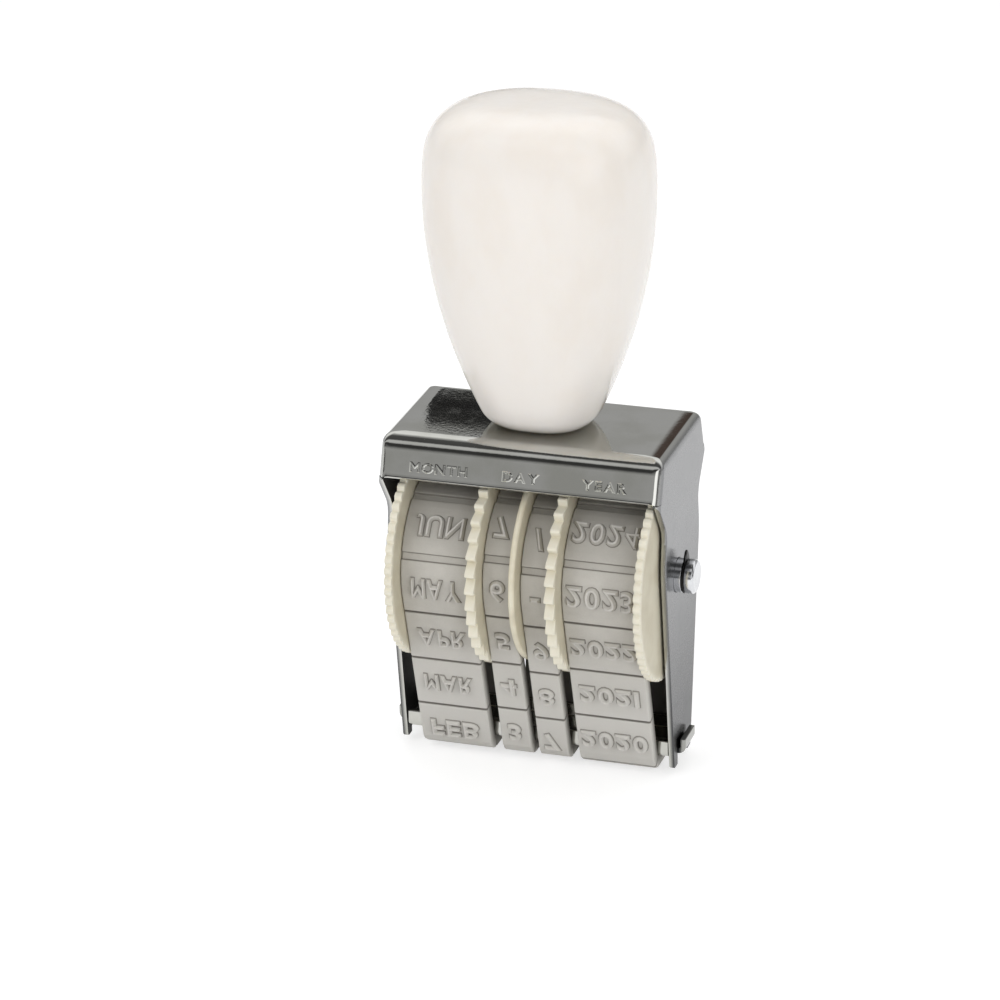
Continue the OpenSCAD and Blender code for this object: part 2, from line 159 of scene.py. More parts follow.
class Shader:
    """The node tree of a material or of the world."""

    def __init__(self, owner):
        owner.use_nodes = True
        self.tree = owner.node_tree
        self.tree.nodes.clear()

    def node(self, kind, settings=None, sockets=None, output=0):
        made = self.tree.nodes.new("ShaderNode" + kind)
        for name, setting in (settings or {}).items():
            if name == "stops":
                self.set_stops(made.color_ramp, setting)
            else:
                setattr(made, name, setting)
        for name, value in (sockets or {}).items():
            if isinstance(value, Value):
                self.tree.links.new(value.socket, made.inputs[name])
            else:
                made.inputs[name].default_value = value
        return Value(self, made.outputs[output]) if made.outputs else made

    def set_stops(self, ramp, stops):
        while len(ramp.elements) < len(stops):
            ramp.elements.new(0.5)
        for element, (position, colour) in zip(ramp.elements, stops):
            element.position = position
            element.color = (*colour, 1)

    def maths(self, operation, first, second):
        return self.node("Math", {"operation": operation}, {0: first, 1: second})

    def fade(self, value, start, end, low=0.0, high=1.0):
        """A soft step from low, where value is at start, to high, where it is at end."""
        sockets = {"Value": value, "From Min": start, "From Max": end,
                   "To Min": low, "To Max": high}
        return self.node("MapRange", {"interpolation_type": "SMOOTHSTEP"}, sockets)

    def tint(self, mask, first, second):
        """The first colour where mask is 0, the second where it is 1."""
        colours = [c if isinstance(c, Value) else (*c, 1) for c in (first, second)]
        sockets = {0: mask, 6: colours[0], 7: colours[1]}
        return self.node("Mix", {"data_type": "RGBA"}, sockets, output=2)


print("shader helpers ready")

# %% [markdown]
# ## Textures in millimetres
#
# Each mesh keeps its place in its own coordinates, so the Object output of Texture Coordinate
# gives a point of the stamp in metres. Scaled to millimetres, a noise scale reads as features
# per millimetre, and stretching one axis turns clouds into rolling lines or turning marks.

# %% Coordinates, noise and the closing nodes of a finish
def place_mm(shader, stretch=(1, 1, 1)):
    scale = tuple(s / MM for s in stretch)
    point = shader.node("TexCoord", output="Object")
    return shader.node("VectorMath", {"operation": "MULTIPLY"}, {0: point, 1: scale})


def noise(shader, place, scale, detail=3.0, roughness=0.5):
    sockets = {"Vector": place, "Scale": scale, "Detail": detail, "Roughness": roughness}
    return shader.node("TexNoise", None, sockets)


def bump(shader, height, distance):
    """Distance is the height of the relief in millimetres."""
    return shader.node("Bump", None, {"Height": height, "Distance": distance * MM})


def surface(shader, sockets):
    skin = shader.node("BsdfPrincipled", None, sockets)
    shader.node("OutputMaterial", None, {"Surface": skin})


def new_finish(name):
    finish = bpy.data.materials.new(name)
    return finish, Shader(finish)


print("texture helpers ready")

# %% [markdown]
# ## Floor
#
# The stamp stands on white paper. To the camera, and to the plating that mirrors it, the floor
# glows just enough to be white, and a layer that takes light keeps the soft shadow. Far from
# the stamp, where the lamps don't reach, they see it plain white. To all other rays it is
# white paper, so it adds no light of its own to the stamp.

# %% Floor
FLOOR_HALF = 20000
FLOOR_DROP = 0.03
PAPER = (0.88, 0.88, 0.88, 1)
SHADOW_LAYER = (0.50, 0.50, 0.50, 1)
GLOW = 0.64
FAR_FROM, FAR_FULL = 250, 500

floor_mesh = bpy.data.meshes.new("floor")
corners = [(x * FLOOR_HALF, y * FLOOR_HALF, -FLOOR_DROP) for x, y in
           ((-1, -1), (1, -1), (1, 1), (-1, 1))]
floor_mesh.from_pydata([Vector(corner) * MM for corner in corners], [], [(0, 1, 2, 3)])
floor = bpy.data.objects.new("floor", floor_mesh)
scene.collection.objects.link(floor)

paper, shader = new_finish("floor_paper")
ray = shader.node("LightPath", output="Is Camera Ray")
mirrored = ray.other("Is Glossy Ray") + ray.other("Is Transmission Ray")
seen = shader.maths("MINIMUM", ray + mirrored, 1)
plain = shader.node("BsdfDiffuse", None, {"Color": PAPER})
shaded = shader.node("BsdfDiffuse", None, {"Color": SHADOW_LAYER})
glow = shader.node("Emission", None, {"Strength": GLOW})
white = shader.node("AddShader", None, {0: shaded, 1: glow})
place = place_mm(shader)
radius = shader.node("VectorMath", {"operation": "LENGTH"}, {0: place}, output="Value")
far = shader.fade(radius, FAR_FROM, FAR_FULL)
white = shader.node("MixShader", None, {0: far, 1: white, 2: shader.node("Emission")})
skin = shader.node("MixShader", None, {0: seen, 1: plain, 2: white})
shader.node("OutputMaterial", None, {"Surface": skin})
floor_mesh.materials.append(paper)
print("floor:", FLOOR_HALF * 2 * MM, "m wide")

# %% [markdown]
# ## Light
#
# Bright plating shows its surroundings and little else, so the room matters as much as the
# lamps. The world is a simple studio: strips of light and dark that run from side to side, over
# the stamp from the front horizon to the back one, a wall behind with a few dark and light
# columns high up, and a window at the right. Where the camera looks past the floor it sees
# white instead. A photograph of a room would be richer, but a script that stands alone can't
# bring one along.

# %% World
STRIPS = [(0, 0.05), (8, 0.06), (12, 0.42), (20, 0.44), (28, 0.30), (34, 0.12), (38, 0.05),
          (50, 0.05), (56, 0.62), (68, 0.66), (74, 0.08), (98, 0.10), (108, 0.5), (117, 1.1),
          (146, 1.0), (153, 0.47), (180, 0.36)]
BROWN = (0.085, 0.063, 0.054)
COLUMNS = [(-1, 0.40), (-0.215, 0.46), (-0.17, BROWN), (0.04, BROWN), (0.12, 0.40),
           (0.22, 0.40), (0.30, 0.13), (0.40, 0.13), (0.48, 0.42), (1, 0.42)]
WALL_FROM, WALL_FULL, WALL_LAST, WALL_GONE = (angle / 180 for angle in (146, 152, 155, 158))
WINDOW = (1.5, 1.5, 1.5)
PANE_LEFT, PANE_RIGHT = (0.40, 0.50), (0.86, 0.78)
PANE_FRONT, PANE_TOP = (0.1, -0.1), (0.55, 0.45)


def grey(level):
    return level if isinstance(level, tuple) else (level, level, level)


world = bpy.data.worlds.new("studio")
scene.world = world
shader = Shader(world)
way = shader.node("SeparateXYZ", None, {0: shader.node("TexCoord", output="Generated")})
over = shader.maths("ARCTAN2", way.other("Z"), way.other("Y") * -1) * (1 / math.pi)
stops = [(angle / 180, grey(level)) for angle, level in STRIPS]
strips = shader.node("ValToRGB", {"stops": stops}, {"Fac": over})
stops = [(x / 2 + 0.5, grey(level)) for x, level in COLUMNS]
wall = shader.node("ValToRGB", {"stops": stops}, {"Fac": way.other("X") * 0.5 + 0.5})
raised = shader.fade(over, WALL_FROM, WALL_FULL) * shader.fade(over, WALL_GONE, WALL_LAST)
room = shader.tint(raised, strips, wall)
pane = shader.fade(way, *PANE_LEFT) * shader.fade(way, *PANE_RIGHT)
pane = pane * shader.fade(way.other("Y"), *PANE_FRONT)
room = shader.tint(pane * shader.fade(way.other("Z"), *PANE_TOP), room, WINDOW)
ray = shader.node("LightPath", output="Is Camera Ray")
light = shader.node("Background", None, {"Color": shader.tint(ray, room, (1, 1, 1))})
shader.node("OutputWorld", None, {"Surface": light})
print("world:", len(STRIPS), "stops overhead,", len(COLUMNS), "along the wall")

# %% [markdown]
# ## Flag and lamps
#
# A photographer keeps a bright plate from going blank with a flag, a small black card that the
# plate mirrors. This one stands behind the stamp on the left, and shows in reflections only. One
# large lamp at the upper left gives the shadows a direction, and two more fill in from the right
# and from above.

# %% Flag
FLAG_X, FLAG_Y, FLAG_Z = (-51, -31), 100, (86.2, 94.5)
FLAG_BLACK = (0.02, 0.02, 0.02, 1)

flag_mesh = bpy.data.meshes.new("flag")
corners = [(FLAG_X[i], FLAG_Y, FLAG_Z[j]) for i, j in ((0, 0), (1, 0), (1, 1), (0, 1))]
flag_mesh.from_pydata([Vector(corner) * MM for corner in corners], [], [(0, 1, 2, 3)])
flag = bpy.data.objects.new("flag", flag_mesh)
scene.collection.objects.link(flag)
for rays in ("camera", "diffuse", "transmission"):
    setattr(flag, "visible_" + rays, False)
card, shader = new_finish("flag_card")
skin = shader.node("BsdfDiffuse", None, {"Color": FLAG_BLACK})
shader.node("OutputMaterial", None, {"Surface": skin})
flag_mesh.materials.append(card)
print("flag:", FLAG_X[1] - FLAG_X[0], "mm wide")

# %% Lamps
LAMP_SIZE = 800
LAMPS = {
    "key_lamp": ((-600, -700, 700), 4.7),
    "fill_lamp": ((650, -600, 300), 2.6),
    "top_lamp": ((0, 150, 900), 2.7),
}


def soft_lamp(name, place, power):
    """A large square lamp that aims at the stamp and doesn't show in its plating."""
    lamp = bpy.data.objects.new(name, bpy.data.lights.new(name, "AREA"))
    lamp.data.size = LAMP_SIZE * MM
    lamp.data.energy = power
    lamp.location = Vector(place) * MM
    lamp.rotation_euler = (AIM - Vector(place)).to_track_quat("-Z", "Y").to_euler()
    lamp.visible_glossy = False
    scene.collection.objects.link(lamp)


for name, (place, power) in LAMPS.items():
    soft_lamp(name, place, power)
    print(f"{name}: {power} W")

# %% [markdown]
# ## Plated sheet
#
# The frame is bright plated steel. Plating is a mirror with small faults: the sheet is not
# quite flat, so reflections waver, it has the fine dimples of orange peel, rolling has left fine
# lines, and handling leaves dull patches. The side plates are rubbed satin, and their colour
# darkens towards the foot: a painted reflection of the shaded paper round the foot. The faces of
# the folded sheet that turn inwards are coloured dull and nearly black: painted shade for the
# dark inside of the stamp.

# %% Plated sheet
PLATE_LIGHT = (0.600, 0.600, 0.572)
PLATE_DULL = (0.530, 0.530, 0.490)
PLATE_SIDE = (0.246, 0.248, 0.254)
PLATE_FOOT_SHADE = (0.050, 0.051, 0.054)
FOOT_SHADE_FULL, FOOT_SHADE_FROM = 2, 40
SATIN_X, CAP_X, PLATE_X, TONGUE_X = 19.2, 20.0, 20.1, 20.4
INSIDE_SHADE_BLACK, INSIDE_SHADE_DARKER = (0.030, 0.029, 0.028), (0.016, 0.015, 0.014)


def plated_sheet():
    finish, shader = new_finish("plated_sheet")
    place = place_mm(shader)
    spot = shader.node("SeparateXYZ", None, {0: place})
    height = spot.other("Z")
    out = spot * spot
    satin = shader.fade(out, SATIN_X ** 2, CAP_X ** 2)
    satin = satin * shader.fade(out, TONGUE_X ** 2, PLATE_X ** 2, 0.4, 1)
    clouds = noise(shader, place, 0.12, 4)
    rolling = noise(shader, place_mm(shader, (0.05, 1.6, 1.6)), 2.5, 2)
    peel = noise(shader, place, 1.8, 2)
    smears = shader.fade(noise(shader, place, 0.35, 5, 0.65), 0.52, 0.72)
    waves = noise(shader, place, 0.09, 1)
    base = shader.tint(shader.fade(clouds, 0.4, 0.65), PLATE_LIGHT, PLATE_DULL)
    # Painted reflection of shade: the side plates darken towards the foot, where they mirror the
    # shaded paper.
    side = shader.tint(shader.fade(height, FOOT_SHADE_FROM, FOOT_SHADE_FULL), PLATE_SIDE, PLATE_FOOT_SHADE)
    sockets = {
        "Base Color": shader.tint(satin, base, side),
        "Metallic": 1.0,
        "Roughness": 0.03 + clouds * 0.03 + smears * 0.04 + rolling * 0.02 + satin * 0.22,
        "Normal": bump(shader, waves * 0.4 + peel * (1 - satin) * 0.045 + rolling * 0.004, 0.10),
    }
    surface(shader, sockets)
    return finish


# Painted shade: the faces of the frame that turn inwards get this dull, nearly black finish, for
# the dark inside of the stamp.
def dull_inside():
    finish, shader = new_finish("dull_inside")
    clouds = noise(shader, place_mm(shader), 0.30, 4)
    grain = noise(shader, place_mm(shader), 3.0, 3)
    sockets = {
        "Base Color": shader.tint(shader.fade(clouds, 0.35, 0.7), INSIDE_SHADE_BLACK, INSIDE_SHADE_DARKER),
        "Metallic": 0.3,
        "Roughness": 0.55 + grain * 0.15,
        "Normal": bump(shader, grain, 0.01),
    }
    surface(shader, sockets)
    return finish


plated = plated_sheet()
inside_shade = dull_inside()
print("finishes:", plated.name, inside_shade.name)

# %% [markdown]
# ## Handle moulding
#
# The handle is cast in a milky plastic with a polished skin. Light goes a little way in, so it
# gets some subsurface scattering, and the melt has faint swirls of warmer and cooler white. A
# clear coat would make it look lacquered; a smooth skin with faint dull patches is closer.

# %% Handle moulding
MILK = (0.882, 0.840, 0.794)
MILK_WARM = (0.860, 0.808, 0.750)


def milky_moulding():
    finish, shader = new_finish("milky_moulding")
    place = place_mm(shader, (1, 1, 0.45))
    drift = noise(shader, place, 0.05, 2)
    swirl = noise(shader, place, 0.16, 4, 0.55)
    streaks = shader.fade(swirl * 0.7 + drift * 0.3, 0.42, 0.66)
    skin = noise(shader, place_mm(shader), 0.4, 4)
    sockets = {
        "Base Color": shader.tint(streaks, MILK, MILK_WARM),
        "Roughness": 0.16 + shader.fade(skin, 0.45, 0.7) * 0.08,
        "Normal": bump(shader, noise(shader, place_mm(shader), 0.5, 2), 0.03),
        "Subsurface Weight": 0.25,
        "Subsurface Radius": (1.0, 0.9, 0.75),
        "Subsurface Scale": 3 * MM,
        "IOR": 1.47,
    }
    surface(shader, sockets)
    return finish


milky = milky_moulding()
print("finish:", milky.name)

# %% [markdown]
# ## Wheel moulding
#
# The setting wheels are ivory plastic with a satin skin. Fingers polish the tips of the teeth,
# and the dirt that they leave settles between them. The flat sides below the teeth are darkened
# with painted shade, for the narrow gaps beside them. All this depends on the distance from the
# axle, so the finish measures it from the axle's place, which the model's joints give.

# %% Wheel moulding
IVORY = (0.805, 0.766, 0.642)
IVORY_DEEP = (0.740, 0.690, 0.542)
IVORY_FLANK_SHADE = (0.46, 0.42, 0.31)
GRIME = (0.42, 0.36, 0.25)
AXLE_Y, AXLE_Z = (v / MM for v in frame["joints"][0]["pos_m"][1:])
RIM_R, TOOTH_DEEP, TOOTH_TIP = 15.0, 1.3, 0.1


def ivory_moulding():
    finish, shader = new_finish("ivory_moulding")
    place = place_mm(shader)
    spot = shader.node("SeparateXYZ", None, {0: place})
    across, rise = spot.other("Y") - AXLE_Y, spot.other("Z") - AXLE_Z
    radius = (across * across + rise * rise) ** 0.5
    clouds = noise(shader, place, 0.25, 4)
    grain = noise(shader, place, 4.0, 3)
    depth = shader.fade(radius, RIM_R - TOOTH_DEEP, RIM_R - TOOTH_TIP, 1, 0)
    dirt = depth * shader.fade(clouds, 0.35, 0.7) * 0.28
    base = shader.tint(shader.fade(clouds * 0.6 + depth * 0.4, 0.25, 0.8), IVORY, IVORY_DEEP)
    facing = shader.node("TexCoord", output="Normal")
    tilt = shader.node("SeparateXYZ", None, {0: facing}, output="X")
    flank = depth * shader.fade(tilt * tilt, 0.75, 0.95)
    # Painted shade: the flat sides of the wheel below the teeth are darkened.
    base = shader.tint(flank * 0.35, base, IVORY_FLANK_SHADE)
    sockets = {
        "Base Color": shader.tint(dirt, base, GRIME),
        "Roughness": 0.36 + depth * 0.12 + grain * 0.10,
        "Normal": bump(shader, grain, 0.012),
        "Subsurface Weight": 0.12,
        "Subsurface Radius": (1.0, 0.85, 0.6),
        "Subsurface Scale": 1.0 * MM,
    }
    surface(shader, sockets)
    return finish


ivory = ivory_moulding()
print("finish:", ivory.name, "round an axle at", round(AXLE_Y, 2), round(AXLE_Z, 2))

# %% [markdown]
# ## Type rubber
#
# The bands are warm grey vulcanised rubber: matte and slightly mottled. The raised parts are
# paler with powder and wear. Near the printing bar the rubber is paler too, partly with powder
# and partly with painted light from the white paper below. The grooves, the band's sides and the
# feet of the letters are dark, partly with old ink and partly with painted shade, and under the
# skirts painted shade darkens the rubber. The band meshes will carry a number named `relief` for
# each point, which says how high it stands and how much painted shade it gets, and the finish
# reads it.

# %% Type rubber
RUBBER = (0.552, 0.532, 0.488)
RUBBER_DULL = (0.490, 0.470, 0.430)
RUBBER_INK_AND_SHADE = (0.16, 0.148, 0.130)
RUBBER_WORN = (0.610, 0.590, 0.560)
RUBBER_POWDER_AND_BOUNCE_LIGHT = (0.650, 0.636, 0.604)
RUBBER_SKIRT_SHADE = (0.275, 0.262, 0.235)
PALE_LOW_FROM, PALE_LOW_FULL = 27, 8
SKIRT_SHADE_FROM, SKIRT_SHADE_FULL = 31, 38


def type_rubber():
    finish, shader = new_finish("type_rubber")
    place = place_mm(shader)
    clouds = noise(shader, place, 0.30, 4)
    specks = noise(shader, place, 5.0, 3, 0.6)
    relief = shader.node("Attribute", {"attribute_name": "relief"}, output="Fac")
    sunk_ink_and_shade = shader.fade(relief, -0.1, -0.9)
    raised = shader.fade(relief, 0.55, 1.0)
    height = shader.node("SeparateXYZ", None, {0: place}, output="Z")
    # Partly powder, partly painted light from the paper: the rubber is paler towards the printing
    # bar.
    powder_and_bounce_light = shader.fade(height, PALE_LOW_FROM, PALE_LOW_FULL) * (0.35 + clouds * 0.5)
    base = shader.tint(shader.fade(clouds * 0.7 + specks * 0.3, 0.35, 0.7), RUBBER, RUBBER_DULL)
    base = shader.tint(powder_and_bounce_light, base, RUBBER_POWDER_AND_BOUNCE_LIGHT)
    # Painted shade: the rubber darkens upwards, under the skirts.
    base = shader.tint(shader.fade(height, SKIRT_SHADE_FROM, SKIRT_SHADE_FULL) * 0.40, base, RUBBER_SKIRT_SHADE)
    # Partly old ink, partly painted shade: dark in the grooves, on the band's sides and at the feet
    # of the letters.
    base = shader.tint(sunk_ink_and_shade * 0.80, base, RUBBER_INK_AND_SHADE)
    sockets = {
        "Base Color": shader.tint(raised * 0.6, base, RUBBER_WORN),
        "Roughness": 0.66 + specks * 0.14,
        "Normal": bump(shader, specks * 0.6 + clouds * 0.4, 0.02),
        "Specular IOR Level": 0.35,
    }
    surface(shader, sockets)
    return finish


rubber = type_rubber()
print("finish:", rubber.name)

# %% [markdown]
# ## Small metal
#
# The axle is a bright turned rod, so its roughness runs in fine rings along its length. The
# clips are blackened spring steel. The screw and washer under the top are zinc plated, which is
# duller and a little blue.

# %% Small metal
def small_metal(name, light, dark, roughness, stretch, ring_scale):
    finish, shader = new_finish(name)
    rings = noise(shader, place_mm(shader, stretch), ring_scale, 3)
    clouds = noise(shader, place_mm(shader), 0.5, 4)
    mask = shader.fade(clouds * 0.5 + rings * 0.5, 0.35, 0.68)
    sockets = {
        "Base Color": shader.tint(mask, light, dark),
        "Metallic": 1.0,
        "Roughness": roughness + rings * 0.10 + clouds * 0.06,
        "Normal": bump(shader, rings, 0.006),
    }
    surface(shader, sockets)
    return finish


ROUND_X, EVEN = (4, 0.2, 0.2), (1, 1, 1)

turned = small_metal("turned_rod", (0.74, 0.75, 0.77), (0.64, 0.65, 0.67), 0.08, ROUND_X, 2.0)
blackened = small_metal("blackened_steel", (0.035, 0.034, 0.033), (0.012, 0.012, 0.012), 0.32,
                        EVEN, 3.0)
zinc = small_metal("zinc_plate", (0.52, 0.53, 0.56), (0.40, 0.41, 0.43), 0.26, EVEN, 1.5)
print("finishes:", turned.name, blackened.name, zinc.name)

# %% [markdown]
# ## Making a piece
#
# Every new piece goes the same way: link the mesh, give it its finish, tie it to the body that
# it moves with, and hide the solid that it stands for, which stays in the motion model. Many
# pieces below are rings of corners, joined one to the next, with smooth shading up to a chosen
# angle.

# %% Pieces from meshes
def new_piece(name, mesh, finish, body, slot, *nodes):
    piece = bpy.data.objects.new(name, mesh)
    scene.collection.objects.link(piece)
    mesh.materials.append(finish)
    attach(piece, body)
    if nodes:
        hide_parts(*nodes)
    return piece


def mesh_of(form, name):
    """Turns a bmesh into a smooth-shaded mesh and frees it."""
    mesh = bpy.data.meshes.new(name)
    form.to_mesh(mesh)
    form.free()
    mesh.shade_smooth()
    return mesh


def bridge(form, rings):
    """Joins each ring of corners to the next one with four-sided faces."""
    for here, there in zip(rings, rings[1:]):
        for k in range(len(here)):
            j = (k + 1) % len(here)
            form.faces.new((here[k], here[j], there[j], there[k]))


def crease(form, degrees):
    """Marks the edges that turn by this much or more as sharp, and the others as smooth."""
    for edge in form.edges:
        edge.smooth = edge.calc_face_angle(0) < math.radians(degrees)


print("piece helpers ready")

# %% [markdown]
# ## Softened solids
#
# Real sheet and mouldings have no knife edges: each edge has a small round that catches light.
# The solids' meshes aren't changed, so the piece is a copy. Its triangles are merged back to
# flat faces, its sharp edges are bevelled, and a Weighted Normal modifier keeps the large faces
# flat while the rounds shade smoothly. A Bevel modifier would do the same on clean quads, but
# here the triangles have to go first.

# %% Copy with rounded edges
FLAT, SHARP = math.radians(1), math.radians(28)
SAME_CORNER = 0.001
ROUND_PARTS = 2


def softened_form(node, radius):
    form = bmesh.new()
    form.from_mesh(frame["nodes"][node].data)
    bmesh.ops.remove_doubles(form, verts=form.verts, dist=SAME_CORNER * MM)
    bmesh.ops.dissolve_limit(form, angle_limit=FLAT, verts=form.verts, edges=form.edges)
    edges = [e for e in form.edges if e.calc_face_angle(0) > SHARP]
    bmesh.ops.bevel(form, geom=edges, offset=radius * MM, offset_type="OFFSET",
                    segments=ROUND_PARTS, profile=0.5, affect="EDGES", clamp_overlap=False)
    return form


def flat_faced(piece):
    """Keeps the normals of large faces flat and those of rounds smooth."""
    weighted = piece.modifiers.new("flat_faces", "WEIGHTED_NORMAL")
    weighted.keep_sharp = True
    return piece


def softened_piece(node, name, radius, finish, body, slot):
    mesh = mesh_of(softened_form(node, radius), name)
    piece = flat_faced(new_piece(name, mesh, finish, body, slot, node))
    print(f"{name}: {len(piece.data.polygons)} faces, edges rounded {radius} mm")
    return piece


print("edges over", round(math.degrees(SHARP)), "degrees are rounded")

# %% [markdown]
# ## Frame
#
# The frame is one strip of sheet: a top, a skirt in front and behind, and two side plates bent
# down. The plates have holes and a shaped outline, so below the skirts a softened copy of the
# solid is right. The cap above is all bends, and a mirror shows every flaw of a bend, so it is
# built anew: level rings, each a rectangle with round corners, run from the flat top over the
# bends and down to the hem, round the hem, and up again inside.

# %% Cap sizes
CAP_TOP, HEM_Z = FRAME_TOP, 43.684
TOP_Y, HEM_Y = 10.3, 12.3
FRONT_BEND, SIDE_BEND = 3.0, 1.5
CROWN_BEND, CROWN_SWEEP = 12.0, math.radians(8)
SHEET, HEM_FOLD, HEM_H, HEM_ROUND = 0.8, 1.5, 1.2, 0.50
CORNER_TOP, CORNER_LOW = 0.5, 1.5
FRONT_PARTS, SIDE_PARTS, CORNER_PARTS = 10, 6, 8
BEND_RINGS, SKIRT_RINGS, HEM_RINGS = 18, 6, 5
INNER_DROPS, ROOF_INSET = (3.6, 2.4, 1.7, 1.2), 0.6
SEAM, HEM_FADE = 0.05, 8
LEAN = math.atan2(HEM_Y - TOP_Y, CAP_TOP - HEM_Z)
SWEPT = math.pi / 2 - LEAN


def heading(angle):
    return Vector((math.cos(angle), math.sin(angle)))


def bend_reach(drop, radius):
    """How far a bend has come out, this far below the top."""
    return math.sqrt(max(0.0, radius ** 2 - (radius - min(drop, radius)) ** 2))


def half_depth(drop):
    """Half depth of the outer skin, this far below the top."""
    if drop < FRONT_BEND * (1 - math.cos(SWEPT)):
        return TOP_Y - FRONT_BEND * math.tan(SWEPT / 2) + bend_reach(drop, FRONT_BEND)
    return TOP_Y + drop * math.tan(LEAN)


def half_width(drop):
    """Half width, where the sheet first leans a little over a wide bend and then turns down."""
    lean_drop = CROWN_BEND * (1 - math.cos(CROWN_SWEEP))
    start = CAP_X - SIDE_BEND * (1 - math.sin(CROWN_SWEEP)) - CROWN_BEND * math.sin(CROWN_SWEEP)
    if drop < lean_drop:
        return start + bend_reach(drop, CROWN_BEND)
    turned = drop - lean_drop + SIDE_BEND * (1 - math.cos(CROWN_SWEEP))
    return CAP_X - SIDE_BEND + bend_reach(turned, SIDE_BEND)


print("bends sweep", round(math.degrees(SWEPT)), "degrees in front")


# %% Rings of the cap
def cap_ring(half_x, half_y, corner):
    """(point, outward direction) round a rectangle with round corners, from front right."""
    ring = []
    quarters = ((1, -1, -90), (1, 1, 0), (-1, 1, 90), (-1, -1, 180))
    for i, (sx, sy, start) in enumerate(quarters):
        centre = Vector((sx * (half_x - corner), sy * (half_y - corner)))
        for k in range(CORNER_PARTS + 1):
            out = heading(math.radians(start + 90 * k / CORNER_PARTS))
            ring.append((centre + out * corner, out))
        sx, sy, start = quarters[(i + 1) % 4]
        there = Vector((sx * (half_x - corner), sy * (half_y - corner))) + out * corner
        parts = SIDE_PARTS if i % 2 == 0 else FRONT_PARTS
        here = ring[-1][0]
        ring += [(here.lerp(there, k / parts), out) for k in range(1, parts)]
    return ring


def outer_drops():
    """Depths below the top at which the outer skin has a ring."""
    drops = [FRONT_BEND * (1 - math.cos(SWEPT * i / BEND_RINGS)) for i in range(BEND_RINGS + 1)]
    bent, low = drops[-1], CAP_TOP - HEM_Z - HEM_ROUND
    return drops + [bent + (low - bent) * i / SKIRT_RINGS for i in range(1, SKIRT_RINGS + 1)]


def skin_ring(drop, inset=lambda out: 0.0, lift=lambda out: 0.0):
    corner = CORNER_TOP + (CORNER_LOW - CORNER_TOP) * min(1, drop / SIDE_BEND)
    return [Vector((*(p - out * inset(out)), CAP_TOP - drop + lift(out))) * MM
            for p, out in cap_ring(half_width(drop), half_depth(drop), corner)]


def cap_rings():
    """Rings of the cap, from the edge of the flat top to the edge of the flat roof inside."""
    full = CAP_TOP - HEM_Z
    fold = lambda out: SHEET + (HEM_FOLD - SHEET) * out.y ** 2
    seam = lambda out: -SEAM * (1 - out.y ** 2)
    rings = [skin_ring(drop) for drop in outer_drops()]
    for i in range(1, HEM_RINGS + 1):
        a = math.radians(90 * i / HEM_RINGS)
        turn = lambda out, a=a: HEM_ROUND * (1 - math.cos(a)) * out.y ** HEM_FADE
        sink = lambda out, a=a: HEM_ROUND * (1 - math.sin(a)) * out.y ** HEM_FADE + seam(out)
        rings.append(skin_ring(full, turn, sink))
    rings.append(skin_ring(full, fold, seam))
    rings.append(skin_ring(full - HEM_H, fold))
    rings.append(skin_ring(full - HEM_H, lambda out: SHEET))
    rings += [skin_ring(drop, lambda out: SHEET) for drop in INNER_DROPS]
    rings.append(skin_ring(SHEET, lambda out: SHEET + ROOF_INSET))
    return rings


print("cap rings:", len(cap_rings()))

# %% Frame from plates and cap
FRAME_EDGE, FRAME_CREASE = 0.12, 40
SAME_RING_CORNER = 0.002
SIDE_X, ROOF_Z, SKIRT_Z = 15, 45, HEM_Z - 1
TURNED_IN = -0.5


def add_cap(form):
    """Joins the rings from the inside out, so that all faces look outwards."""
    rings = [[form.verts.new(point) for point in ring] for ring in cap_rings()]
    bridge(form, rings[::-1])
    form.faces.new(rings[0])
    form.faces.new(reversed(rings[-1]))
    corners = [corner for ring in rings for corner in ring]
    bmesh.ops.remove_doubles(form, verts=corners, dist=SAME_RING_CORNER * MM)


def frame_form():
    form = softened_form("frame", FRAME_EDGE)
    everything = form.verts[:] + form.edges[:] + form.faces[:]
    bmesh.ops.bisect_plane(form, geom=everything, plane_co=(0, 0, (HEM_Z - SEAM) * MM),
                           plane_no=(0, 0, 1), clear_outer=True)
    bmesh.ops.holes_fill(form, edges=[e for e in form.edges if e.is_boundary])
    add_cap(form)
    crease(form, FRAME_CREASE)
    return form


def looks_in(face):
    """Whether a face of the frame is turned to the wheels."""
    spot, out = face.center / MM, face.normal
    side = abs(spot.x) > SIDE_X and out.x * math.copysign(1, spot.x) < TURNED_IN
    roof = spot.z > ROOF_Z and out.z < TURNED_IN
    skirt = spot.z > SKIRT_Z and out.y * math.copysign(1, spot.y) < TURNED_IN
    return side or roof or skirt


frame_mesh = mesh_of(frame_form(), "frame_plated")
flat_faced(new_piece("frame_plated", frame_mesh, plated, "frame", "chrome_sheet", "frame"))
# The faces turned to the wheels get the nearly black finish: painted shade.
frame_mesh.materials.append(inside_shade)
for face in frame_mesh.polygons:
    face.material_index = int(looks_in(face))
dull = sum(face.material_index for face in frame_mesh.polygons)
print("frame:", len(frame_mesh.polygons), "faces,", dull, "of them dull")

# %% [markdown]
# ## Handle
#
# The handle grows from a small foot to a broad, gently squared crown. Rings of points stacked
# along its height give that shape directly: each ring is a superellipse, an ellipse with fuller
# corners. Box modelling with a subdivision surface would also do, but rings follow measured
# widths exactly. The first two rings are the blind hole for the screw.

